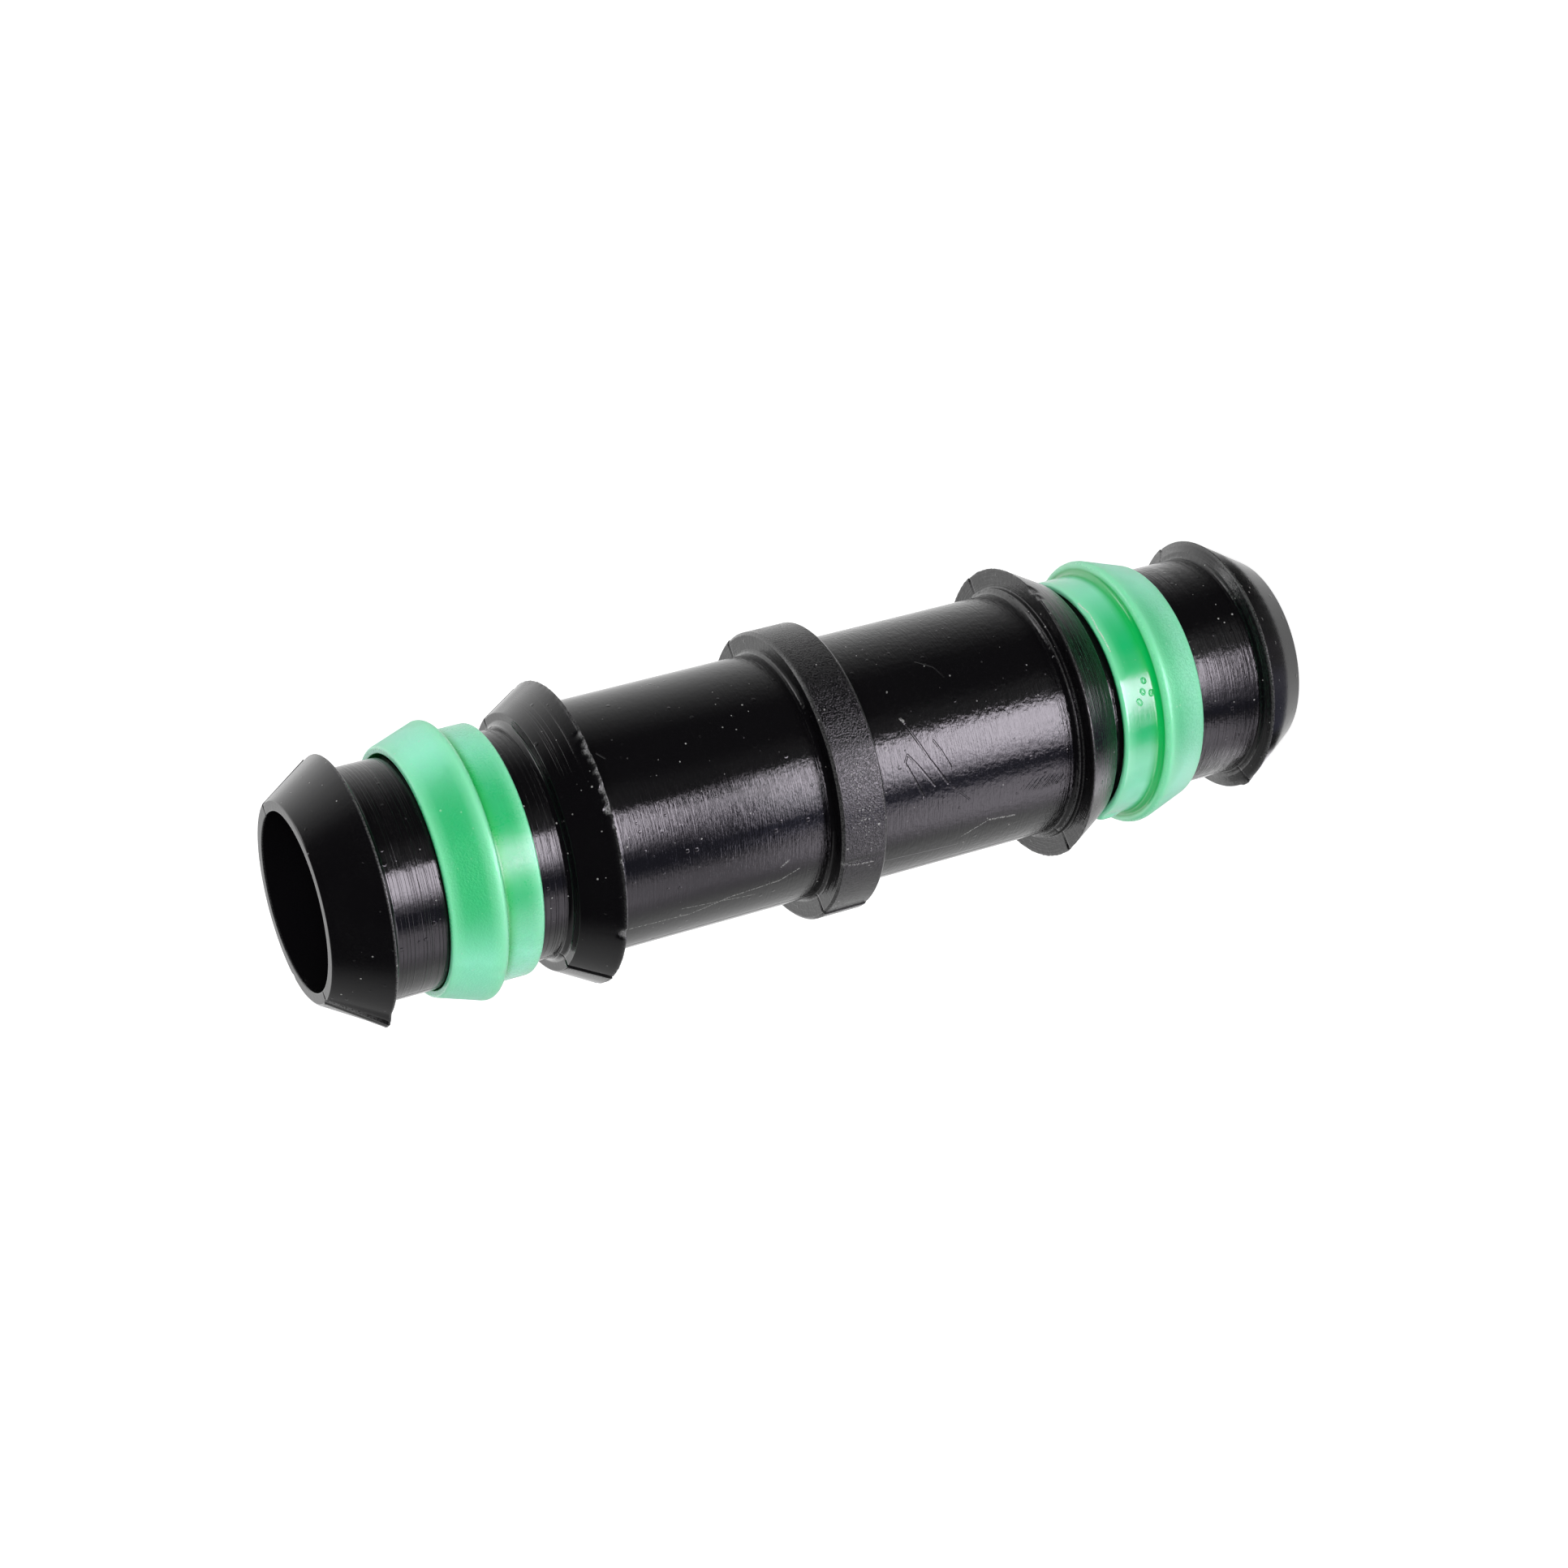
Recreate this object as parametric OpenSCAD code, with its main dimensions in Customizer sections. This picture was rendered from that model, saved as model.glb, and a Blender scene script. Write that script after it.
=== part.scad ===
// Barbed straight coupling for soft pipe, with a loose safety ring on each neck.
// It stands on one nose: the bore runs up +Z and the origin is the centre of the lower end face.
// The two mould halves meet in the plane Y = 0.

/* [Body] */
// Length from end face to end face
body_len = 59.4; // [54:0.1:80]
// Diameter of the through bore
bore_d = 9.9; // [6:0.1:10.4]
// Outside diameter of the tube between the second barbs
tube_d = 14; // [13.2:0.1:15]

/* [Nose] */
// Diameter of the end face, at the tip of the nose
tip_d = 11.1; // [10.8:0.05:12.4]
// Rounding at the rim of the end face
tip_round = 0.12; // [0.05:0.01:0.25]
// Diameter over the crest of the nose
nose_crest_d = 14.74; // [14.2:0.02:16]
// Distance from the end face to the crest of the nose
nose_len = 2.88; // [1.5:0.01:5]
// Width of the worn land on the crest of the nose
nose_land = 0.1; // [0.02:0.01:0.3]
// How far the back face of the nose leans out towards its crest
nose_lean = 0.3; // [0:0.01:0.6]

/* [Neck] */
// Diameter of the neck that carries the ring
neck_d = 12.8; // [11.4:0.1:13.4]
// Length of the neck, from the nose to the face of the second barb
neck_len = 9.96; // [7.5:0.02:11]
// Fillet at both ends of the neck
neck_fillet = 0.2; // [0.05:0.01:0.3]

/* [Second barb] */
// Diameter of the barb's flat front face
barb_face_d = 14.36; // [13.8:0.02:15.6]
// Diameter over the sharp crest
barb_crest_d = 16.84; // [16:0.02:19]
// Length of the barb's cone
barb_len = 2.16; // [1.2:0.01:4]
// Width of the land on the crest
barb_land = 0.08; // [0.02:0.01:0.3]
// Height of the small shoulder behind the barb, above the tube
shoulder_h = 0.33; // [0.1:0.01:0.5]
// Width of that shoulder
shoulder_w = 0.3; // [0.1:0.01:0.8]
// Fillet between the shoulder and the tube
shoulder_fillet = 0.3; // [0.1:0.01:0.6]

/* [Collar] */
// Diameter of the centre collar
collar_d = 16.4; // [15.6:0.1:20]
// Width of the collar
collar_w = 2.74; // [1.6:0.02:6]
// Chamfer on both rims of the collar
collar_chamfer = 0.14; // [0.04:0.01:0.35]
// Fillet where the collar meets the tube
collar_fillet = 0.2; // [0.05:0.01:0.4]

/* [Mould] */
// Step at the parting plane: the cones and collar of the +Y half stand proud by this much
mould_step = 0.05; // [0.02:0.01:0.1]

/* [Safety ring] */
// Radial clearance between the ring and the neck
ring_clear = 0.1; // [0.05:0.01:0.2]
// Length of the ring
ring_len = 5.2; // [4.4:0.1:6]
// Outside diameter of the ring's sleeve
ring_sleeve_d = 14; // [13.8:0.05:14.6]
// Diameter over the ring's crest
ring_crest_d = 15.7; // [15.2:0.05:17]
// Diameter at the thin end of the ring's cone
ring_tip_d = 13.8; // [13.6:0.05:14.2]
// Distance from the sleeve end to the hooked back of the crest
ring_sleeve_len = 2.3; // [1.5:0.05:2.6]
// Radius that rounds the top of the crest
ring_crest_round = 0.3; // [0.1:0.02:0.4]
// Radius of the groove behind the crest
ring_groove_r = 0.3; // [0.1:0.02:0.4]
// Rounding of the ring's two outer end rims
ring_rim_round = 0.18; // [0.05:0.01:0.25]
// Chamfer at both ends of the ring's bore
ring_bore_chamfer = 0.1; // [0.05:0.01:0.15]

/* [Rings as photographed] */
// Gap between the top ring and the face of its second barb
top_ring_gap = 1.84; // [0.1:0.02:2]
// Gap between the bottom ring and the face of its second barb
bottom_ring_gap = 0.7; // [0.1:0.02:2]

/* [Hidden] */
$fn = 96;

mid_z = body_len / 2;
// Heights above the middle plane, on the upper half
nose_crest_h = mid_z - nose_len;
nose_back_h = nose_crest_h - nose_land - nose_lean;
barb_face_h = nose_back_h - neck_len;
barb_crest_h = barb_face_h - barb_len;
barb_back_h = barb_crest_h - barb_land;
collar_face_h = collar_w / 2;

bore_r = bore_d / 2;
tube_r = tube_d / 2;
neck_r = neck_d / 2;
shoulder_r = tube_r + shoulder_h;
ring_bore_r = neck_r + ring_clear;
arc_steps = 5;

// Points on an arc, as [radius, height], with the angle measured from the radial direction
function arc(centre_r, centre_h, size, start, end) =
    [for (i = [0:arc_steps])
        let (a = start + (end - start) * i / arc_steps)
        [centre_r + size * cos(a), centre_h + size * sin(a)]];

// A profile drawn above the middle plane, followed by its mirror image below it
function both_ends(upper) =
    concat(upper, [for (i = [len(upper) - 1:-1:0]) [upper[i][0], -upper[i][1]]]);

// The nose from its end face down to the neck, each outer radius grown by grow
function nose_profile(grow) = concat(
    arc(tip_d / 2 + grow - tip_round, mid_z - tip_round, tip_round, 90, 32),
    [[nose_crest_d / 2 + grow, nose_crest_h],
     [nose_crest_d / 2 + grow, nose_crest_h - nose_land]]);

// The second barb from its front face down to its back face
function barb_profile(grow) =
    [[barb_face_d / 2 + grow, barb_face_h],
     [barb_crest_d / 2 + grow, barb_crest_h],
     [barb_crest_d / 2 + grow, barb_back_h]];

// The rim of the collar, from its face down to the middle plane
function collar_profile(grow) =
    [[collar_d / 2 + grow - collar_chamfer, collar_face_h],
     [collar_d / 2 + grow, collar_face_h - collar_chamfer]];

// The outside of the upper half, from the end face to the middle plane
function body_profile() = concat(
    [[bore_r, mid_z]],
    nose_profile(0),
    arc(neck_r + neck_fillet, nose_back_h - neck_fillet, neck_fillet, 90, 180),
    arc(neck_r + neck_fillet, barb_face_h + neck_fillet, neck_fillet, 180, 270),
    barb_profile(0),
    [[shoulder_r, barb_back_h],
     [shoulder_r, barb_back_h - shoulder_w]],
    arc(tube_r + shoulder_fillet, barb_back_h - shoulder_w - shoulder_fillet, shoulder_fillet, 90, 180),
    arc(tube_r + collar_fillet, collar_face_h + collar_fillet, collar_fillet, 180, 270),
    collar_profile(0));

// The half of a flange that stands proud, made on both ends
module proud_half(profile, inner_r) {
    outline = concat([[inner_r, profile[0][1]]], profile, [[inner_r, profile[len(profile) - 1][1]]]);
    rotate_extrude(angle = 180) polygon(outline);
    mirror([0, 0, 1]) rotate_extrude(angle = 180) polygon(outline);
}

module body() {
    color("#161618") translate([0, 0, mid_z]) {
        rotate_extrude() polygon(both_ends(body_profile()));
        proud_half(nose_profile(mould_step), (bore_r + tip_d / 2) / 2);
        proud_half(barb_profile(mould_step), (bore_r + neck_r) / 2);
        rotate_extrude(angle = 180)
            polygon(both_ends(concat(
                [[(bore_r + tube_r) / 2, collar_face_h]],
                collar_profile(mould_step))));
    }
}

// Half section of the ring, standing on its sleeve end, with the cone upwards
function ring_profile() = concat(
    [[ring_bore_r, ring_bore_chamfer],
     [ring_bore_r + ring_bore_chamfer, 0]],
    arc(ring_sleeve_d / 2 - ring_rim_round, ring_rim_round, ring_rim_round, -90, 0),
    arc(ring_sleeve_d / 2 + ring_groove_r, ring_sleeve_len - ring_groove_r, ring_groove_r, 180, 90),
    arc(ring_crest_d / 2 - ring_crest_round, ring_sleeve_len + ring_crest_round, ring_crest_round, -90, 70),
    arc(ring_tip_d / 2 - ring_rim_round, ring_len - ring_rim_round, ring_rim_round, 20, 90),
    [[ring_bore_r + ring_bore_chamfer, ring_len],
     [ring_bore_r, ring_len - ring_bore_chamfer]]);

module safety_ring() {
    color("#35c982") rotate_extrude() polygon(ring_profile());
}

module top_ring() {
    translate([0, 0, mid_z + barb_face_h + top_ring_gap]) safety_ring();
}

module bottom_ring() {
    translate([0, 0, mid_z - barb_face_h - bottom_ring_gap]) mirror([0, 0, 1]) safety_ring();
}

body();
top_ring();
bottom_ring();
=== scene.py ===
import math
from functools import partial

import bpy
import numpy as np
from mathutils import Matrix, Vector


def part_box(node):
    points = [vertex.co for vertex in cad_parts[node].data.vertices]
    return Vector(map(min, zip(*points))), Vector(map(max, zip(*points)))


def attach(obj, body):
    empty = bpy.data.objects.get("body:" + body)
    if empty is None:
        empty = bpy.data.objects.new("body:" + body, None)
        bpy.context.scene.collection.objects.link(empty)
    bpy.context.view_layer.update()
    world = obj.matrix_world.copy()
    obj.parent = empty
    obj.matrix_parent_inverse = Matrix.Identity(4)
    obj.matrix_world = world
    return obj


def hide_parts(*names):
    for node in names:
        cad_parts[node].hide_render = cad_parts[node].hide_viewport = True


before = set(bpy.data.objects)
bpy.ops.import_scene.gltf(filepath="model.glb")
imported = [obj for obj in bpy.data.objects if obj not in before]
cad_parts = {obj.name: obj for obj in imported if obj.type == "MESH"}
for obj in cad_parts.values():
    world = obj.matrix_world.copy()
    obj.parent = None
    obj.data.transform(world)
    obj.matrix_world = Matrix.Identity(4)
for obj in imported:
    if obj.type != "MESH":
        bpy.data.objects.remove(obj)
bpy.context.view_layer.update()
mm = 0.001


# Camera
cameraSetup = {
    "position": (-0.0400327, -0.1805760, 0.1073865),
    "aim": (-0.0004514, 0.0004532, 0.0305351),
    "roll": -104.751,  # degrees, lays the upright coupling across the picture
    "lens": 82.529,
    "sensor": 36.0,
}


def placeCamera(setup):
    camera = bpy.data.objects.new("camera", bpy.data.cameras.new("camera"))
    camera.data.lens = setup["lens"]
    camera.data.sensor_width = setup["sensor"]
    camera.data.clip_start = 0.01
    camera.data.clip_end = 20
    position, aim = Vector(setup["position"]), Vector(setup["aim"])
    turn = (aim - position).to_track_quat("-Z", "Y").to_matrix().to_4x4()
    roll = Matrix.Rotation(math.radians(setup["roll"]), 4, "Z")
    camera.matrix_world = Matrix.Translation(position) @ turn @ roll
    bpy.context.scene.collection.objects.link(camera)
    bpy.context.scene.camera = camera
    print("camera placed")


# Small helpers for node trees
def feed(tree, socket, value):
    if isinstance(value, bpy.types.NodeSocket):
        tree.links.new(value, socket)
    else:
        socket.default_value = value


def addNode(tree, kind, inputs=None, **settings):
    node = tree.nodes.new(kind)
    for name, value in settings.items():
        setattr(node, name, value)
    for key, value in (inputs or {}).items():
        feed(tree, node.inputs[key], value)
    return node


def mathNode(tree, operation, *values):
    return addNode(tree, "ShaderNodeMath", dict(enumerate(values)), operation=operation).outputs[0]


def vectorMath(tree, operation, *values):
    node = addNode(tree, "ShaderNodeVectorMath", dict(enumerate(values)), operation=operation)
    return node.outputs[1 if operation in ("DOT_PRODUCT", "DISTANCE", "LENGTH") else 0]


def mixColour(tree, factor, first, second):
    return addNode(tree, "ShaderNodeMix", {0: factor, 6: first, 7: second}, data_type="RGBA").outputs[2]


def mixValue(tree, factor, first, second):
    return addNode(tree, "ShaderNodeMix", {0: factor, 2: first, 3: second}, data_type="FLOAT").outputs[0]


def remap(tree, value, fromLow, fromHigh, toLow=0.0, toHigh=1.0):
    values = {0: value, 1: fromLow, 2: fromHigh, 3: toLow, 4: toHigh}
    return addNode(tree, "ShaderNodeMapRange", values, interpolation_type="SMOOTHSTEP").outputs[0]


def noise(tree, vector, scale, detail=2.0, roughness=0.5):
    inputs = {"Vector": vector, "Scale": scale, "Detail": detail, "Roughness": roughness}
    return addNode(tree, "ShaderNodeTexNoise", inputs).outputs[0]


def newGroup(name, inputs):
    # A shared effect with one output, a value that changes over the surface. None stands for a vector input.
    tree = bpy.data.node_groups.new(name, "ShaderNodeTree")
    for label, value in inputs.items():
        kind = "NodeSocketVector" if value is None else "NodeSocketFloat"
        socket = tree.interface.new_socket(label, in_out="INPUT", socket_type=kind)
        if value is not None:
            socket.default_value = value
    tree.interface.new_socket("Value", in_out="OUTPUT", socket_type="NodeSocketFloat")
    return tree, tree.nodes.new("NodeGroupInput").outputs, tree.nodes.new("NodeGroupOutput").inputs[0]


def useGroup(tree, group, **inputs):
    return addNode(tree, "ShaderNodeGroup", inputs, node_tree=group).outputs[0]


# Floor, background and lights. A card's angles are degrees round from the camera, and the positive side is
# the bottom of the picture.
studio = {
    "floorSize": 4.0,
    "floorColour": (0.8, 0.8, 0.8, 1),
    "floorGlow": 0.7,
    "worldLevel": 0.576,
    "keyPosition": (-0.17, -0.74, 0.36),
    "keySize": 0.35,
    "keyPower": 3.6,
    "facing": -102.5,
    "lowRings": [(6.3, 0.3, "foot"), (9.8, 0.3, "foot"), (11, 0.3, "skirt"), (13, 0.3, "skirt"),
                 (16, 0.3, "close"), (26, 0.3, "close"), (34, 0.3, "near"), (66, 0.3, "near"),
                 (73, 0.3, "middle"), (79, 0.3, "middle"), (84, 0.3, "far"), (114, 0.3, "far"),
                 (134, 0.3, "beyond"), (500, 0.3, "beyond")],
    "flagRings": [(900, 2, "flag"), (900, 800, "flag"), (900, 900, "lamp"), (900, 1500, "lamp")],
    "roofRings": [(20, 1500, "roof"), (820, 1500, "roof"), (900, 1500, "lamp")],
    "lampGlow": 2.8,
    "lampStart": (-126, -112),  # the lamp's two soft edges
    "lampEnd": (-94, -82),
    "screens": [(-1, 60, 135, 1.5), (1, 80, 115, 0.4), (1, 150, 168, 1.2)],  # side, start, full angle, glow
    "shade": 0.03,
    "lilac": (1.01, 0.94, 1.05),
    "neutral": (1.0, 1.0, 1.0),
    "blue": (0.80, 0.82, 1.30),
}

# Each low card has the width of its two soft edges, and for each zone its first and last angle and its level
lowCards = [
    {"soft": (5, 22), "tint": "lilac",
     "foot": (-5, 30, 0.1), "skirt": (-5, 30, 0.4), "close": (-4, 19, 8.2), "near": (-4, 27, 9.0),
     "middle": (-6, 33, 6.4), "far": (5, 12, 4.0), "beyond": (-3, 24, 10.0)},
    {"soft": (6, 4), "tint": "lilac",
     "foot": (-5, 30, 0.0), "skirt": (-5, 38, 0.2), "close": (-4, 36, 0.9), "near": (-4, 38, 2.4),
     "middle": (-6, 41, 2.6), "far": (5, 34, 0.2), "beyond": (-3, 38, 0.6)},
    {"soft": (14, 30), "tint": "lilac",
     "foot": (80, 130, 0.6), "skirt": (56, 100, 1.2), "close": (52, 80, 1.8), "near": (54, 88, 2.5),
     "middle": (50, 84, 3.0), "far": (62, 92, 1.1), "beyond": (56, 92, 1.6)},
    {"soft": (24, 1), "tint": "neutral",
     "foot": (80, 400, 1.1), "skirt": (84, 400, 1.0), "close": (84, 400, 0.7), "near": (94, 400, 0.85),
     "middle": (94, 400, 0.9), "far": (98, 400, 0.9), "beyond": (98, 400, 0.9)},
    {"soft": (1, 76), "tint": "neutral",
     "foot": (-400, -90, 1.6), "skirt": (-400, -90, 1.1), "close": (-400, -92, 0.9),
     "near": (-400, -98, 1.0), "middle": (-400, -98, 0.9), "far": (-400, -100, 1.0),
     "beyond": (-400, -102, 1.0)},
    {"soft": (20, 4), "tint": "neutral",
     "foot": (-24, -5, 0.05), "skirt": (-24, -5, 0.3), "close": (-24, -5, 0.6), "near": (-24, -5, 0.2),
     "middle": (-24, -5, 0.2), "far": (-24, 0, 0.06), "beyond": (-26, -4, 0.2)},
    {"soft": (12, 10), "tint": "blue",
     "foot": (14, 56, 0.1), "skirt": (14, 56, 0.1), "close": (14, 46, 0.2), "near": (20, 56, 0.15),
     "middle": (20, 56, 0.8), "far": (10, 60, 0.12), "beyond": (16, 56, 0.15)},
]


def ease(value, low, high):
    share = min(1.0, max(0.0, (value - low) / (high - low)))
    return share * share * (3 - 2 * share)


def lowGlow(zone, angle):
    total = np.full(3, studio["shade"])
    for card in lowCards:
        first, last = (width / 2 for width in card["soft"])
        start, end, level = card[zone]
        share = ease(angle, start - first, start + first) * (1 - ease(angle, end - last, end + last))
        total += share * level * np.array(studio[card["tint"]])
    return total


def flagGlow(zone, angle):
    # Black in front of the coupling and over it, with pale screens at its sides and a lamp high on one side
    if zone == "roof":
        return np.zeros(3)
    glow = sum(level * ease(side * angle, start, full) for side, start, full, level in studio["screens"])
    if zone == "lamp":
        share = ease(angle, *studio["lampStart"]) * (1 - ease(angle, *studio["lampEnd"]))
        glow += studio["lampGlow"] * share
    return np.full(3, glow)


def seenDirectly(tree):
    path = tree.nodes.new("ShaderNodeLightPath").outputs
    direct = mathNode(tree, "MAXIMUM", path["Is Camera Ray"], path["Is Glossy Ray"])
    return mathNode(tree, "MAXIMUM", direct, path["Is Transmission Ray"])


def emptyMaterial(name):
    material = bpy.data.materials.new(name)
    material.use_nodes = True
    material.node_tree.nodes.clear()
    return material, material.node_tree


def paleFloor(setup):
    material, tree = emptyMaterial("paleFloor")
    matte = addNode(tree, "ShaderNodeBsdfDiffuse", {"Color": setup["floorColour"]})
    strength = mathNode(tree, "MULTIPLY", seenDirectly(tree), setup["floorGlow"])
    glow = addNode(tree, "ShaderNodeEmission", {"Strength": strength})
    both = addNode(tree, "ShaderNodeAddShader", {0: matte.outputs[0], 1: glow.outputs[0]})
    addNode(tree, "ShaderNodeOutputMaterial", {"Surface": both.outputs[0]})
    return material


def plainMesh(name, points, faces, material):
    mesh = bpy.data.meshes.new(name)
    mesh.from_pydata(points, [], faces)
    mesh.materials.append(material)
    thing = bpy.data.objects.new(name, mesh)
    bpy.context.scene.collection.objects.link(thing)
    return thing


def glossCard(name, setup, rings, angles, glowAt):
    # A polar sheet round the coupling that only the gloss sees, with its own level at each point
    material, tree = emptyMaterial(name)
    colour = addNode(tree, "ShaderNodeAttribute", attribute_name="glow").outputs["Color"]
    glow = addNode(tree, "ShaderNodeEmission", {"Color": colour})
    addNode(tree, "ShaderNodeOutputMaterial", {"Surface": glow.outputs[0]})
    points, colours = [], []
    for radius, height, zone in rings:
        for angle in angles:
            turn = math.radians(setup["facing"] - angle)
            points.append((radius * mm * math.cos(turn), radius * mm * math.sin(turn), height * mm))
            colours.append((*glowAt(zone, angle), 1))
    across = len(angles)
    starts = [row * across + i for row in range(len(rings) - 1) for i in range(across - 1)]
    faces = [(i, i + 1, i + across + 1, i + across) for i in starts]
    card = plainMesh(name, points, faces, material)
    attribute = card.data.attributes.new("glow", "FLOAT_COLOR", "POINT")
    attribute.data.foreach_set("color", np.array(colours, dtype=np.float32).ravel())
    card.visible_camera = card.visible_diffuse = card.visible_transmission = card.visible_shadow = False


def buildStudio(setup):
    half = setup["floorSize"] / 2
    corners = [(-half, -half, 0), (half, -half, 0), (half, half, 0), (-half, half, 0)]
    plainMesh("floor", corners, [(0, 1, 2, 3)], paleFloor(setup))
    world = bpy.data.worlds.new("whiteRoom")
    bpy.context.scene.world = world
    world.use_nodes = True
    tree = world.node_tree
    tree.nodes.clear()
    strength = mixValue(tree, seenDirectly(tree), setup["worldLevel"], 1.0)
    back = addNode(tree, "ShaderNodeBackground", {"Color": (1, 1, 1, 1), "Strength": strength})
    addNode(tree, "ShaderNodeOutputWorld", {"Surface": back.outputs[0]})
    lamp = bpy.data.lights.new("keySoftbox", "AREA")
    lamp.size = setup["keySize"]
    lamp.energy = setup["keyPower"]
    key = bpy.data.objects.new("keySoftbox", lamp)
    spot = Vector(setup["keyPosition"])
    key.matrix_world = Matrix.Translation(spot) @ (-spot).to_track_quat("-Z", "Y").to_matrix().to_4x4()
    key.visible_glossy = False  # its mirror image comes from the low cards
    bpy.context.scene.collection.objects.link(key)
    glossCard("lowSoftbox", setup, setup["lowRings"], range(-180, 181), lowGlow)
    glossCard("frontFlag", setup, setup["flagRings"], range(-172, 173, 4), flagGlow)
    glossCard("roofFlag", setup, setup["roofRings"], range(-180, 181, 6), flagGlow)
    print("studio built")


# Outlines, in millimetres. A corner is its radius, height, rounding, edge, and the skin that follows it.
def skin(matte=0.0, grain=0.0, inside=0.0, lathe=0.0):
    return {"matte": matte, "grain": grain, "inside": inside, "lathe": lathe}


def edge(proud=0.0, ragged=0.0, worn=0.0):
    return {"proud": proud, "ragged": ragged, "worn": worn}


skins = {
    "gloss": skin(),
    "neck": skin(lathe=0.9),
    "face": skin(matte=0.12, lathe=0.35),
    "barb": skin(matte=0.45, lathe=1.0),
    "cone": skin(matte=1.0),
    "collar": skin(matte=0.08, grain=1.0),
    "bore": skin(inside=1.0),
    # The valley skins raise a ring's inside mark step by step, which paints the groove a deeper green as
    # painted shade
    "valleyTop": skin(inside=0.3),
    "valleyMiddle": skin(inside=0.65),
    "valleyFloor": skin(inside=0.9),
}
smallRounding = 0.09  # a corner rounded no more than this takes two steps
raggedFrom = 0.02  # an edge more ragged than this gets the closer rows
boreStretch = 12  # between two rows of the plain bore


def roundCorner(before, corner, after, size, steps):
    a, b, c = np.array(before), np.array(corner), np.array(after)
    u, v = (a - b) / np.linalg.norm(a - b), (c - b) / np.linalg.norm(c - b)
    half = math.acos(max(-1.0, min(1.0, float(u @ v)))) / 2
    if size <= 0 or half > math.pi / 2 - 0.02:
        return [tuple(b)]
    reach = size / math.tan(half)
    middle = b + (u + v) / np.linalg.norm(u + v) * size / math.sin(half)
    start, end = b + u * reach - middle, b + v * reach - middle
    turn = 1 if start[0] * end[1] - start[1] * end[0] > 0 else -1
    points = []
    for i in range(steps + 1):
        angle = turn * (math.pi - 2 * half) * i / steps
        cosine, sine = math.cos(angle), math.sin(angle)
        points.append((middle[0] + start[0] * cosine - start[1] * sine,
                       middle[1] + start[0] * sine + start[1] * cosine))
    return points


def blend(first, second, share):
    return {key: first[key] + (second[key] - first[key]) * share for key in first}


def smoothOutline(corners, holds, raggedHolds, longest, steps, wornReach):
    # Rounds each corner and adds rows beside it, so that flats are shaded flat and wear stays at the edges
    count = len(corners)
    bends = []
    for i, (radius, height, size, mark, skinName) in enumerate(corners):
        before, after = corners[i - 1], corners[(i + 1) % count]
        cuts = steps if size > smallRounding else 2
        arc = roundCorner(before[:2], (radius, height), after[:2], size, cuts)
        last = max(1, len(arc) - 1)
        bends.append([(point, {**mark, **blend(skins[before[4]], skins[skinName], k / last)})
                      for k, point in enumerate(arc)])
    rows = []
    for i, bend in enumerate(bends):
        rows += bend
        start, end = bend[-1][0], bends[(i + 1) % count][0][0]
        edges = corners[i][3], corners[(i + 1) % count][3]
        length = math.dist(start, end)
        isRagged = [mark["ragged"] > raggedFrom for mark in edges]
        leaving, arriving = ([hold for hold in (raggedHolds if rough else holds) if hold < length * 0.4]
                             for rough in isRagged)
        reaches = [wornReach[1] if rough else wornReach[0] for rough in isRagged]
        if not leaving:
            continue
        span = length - leaving[-1] - arriving[-1]
        cuts = max(1, math.ceil(span / (boreStretch if corners[i][4] == "bore" else longest)))
        between = [leaving[-1] + span * k / cuts for k in range(1, cuts)]
        for far in leaving + between + [length - hold for hold in reversed(arriving)]:
            mark = blend(*edges, far / length)
            for key in ("ragged", "worn"):
                fades = (max(0, 1 - far / reaches[0]) ** 2, max(0, 1 - (length - far) / reaches[1]) ** 2)
                mark[key] = edges[0][key] * fades[0] + edges[1][key] * fades[1]
            spot = tuple(p + (q - p) * far / length for p, q in zip(start, end))
            rows.append((spot, {**mark, **skins[corners[i][4]]}))
    rows.append(rows[0])
    return rows


bodySizes = {  # millimetres, heights above the middle plane
    "end": 29.7, "boreR": 4.95, "tipR": 5.55, "tipRound": 0.12, "boreRound": 0.05,
    "noseR": 7.37, "noseCrest": 26.77, "noseBack": 26.42, "noseRound": 0.06,
    "ridges": (7.14, 6.98, 6.82), "ridgeDepth": 0.05,
    "neckR": 6.4, "noseFillet": 0.2, "barbFillet": 0.36,
    "barbFace": 16.46, "barbFaceR": 7.18, "barbR": 8.42, "barbCrest": 14.3, "barbBack": 14.22,
    "shoulderR": 7.33, "shoulderEnd": 13.92, "shoulderFillet": 0.28,
    "tubeR": 7.0, "collarFace": 1.37, "collarR": 8.2, "collarChamfer": 0.14, "collarFillet": 0.2,
    "columns": 266, "partingGap": 0.4, "mouldStep": 0.06, "groove": 0.09, "wobble": 0.012, "seed": 4,
    "rows": {"holds": (0.07,), "raggedHolds": (0.06, 0.16, 0.34, 0.6), "longest": 3.5, "steps": 4,
             "wornReach": (0.07, 0.22)},
}


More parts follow.
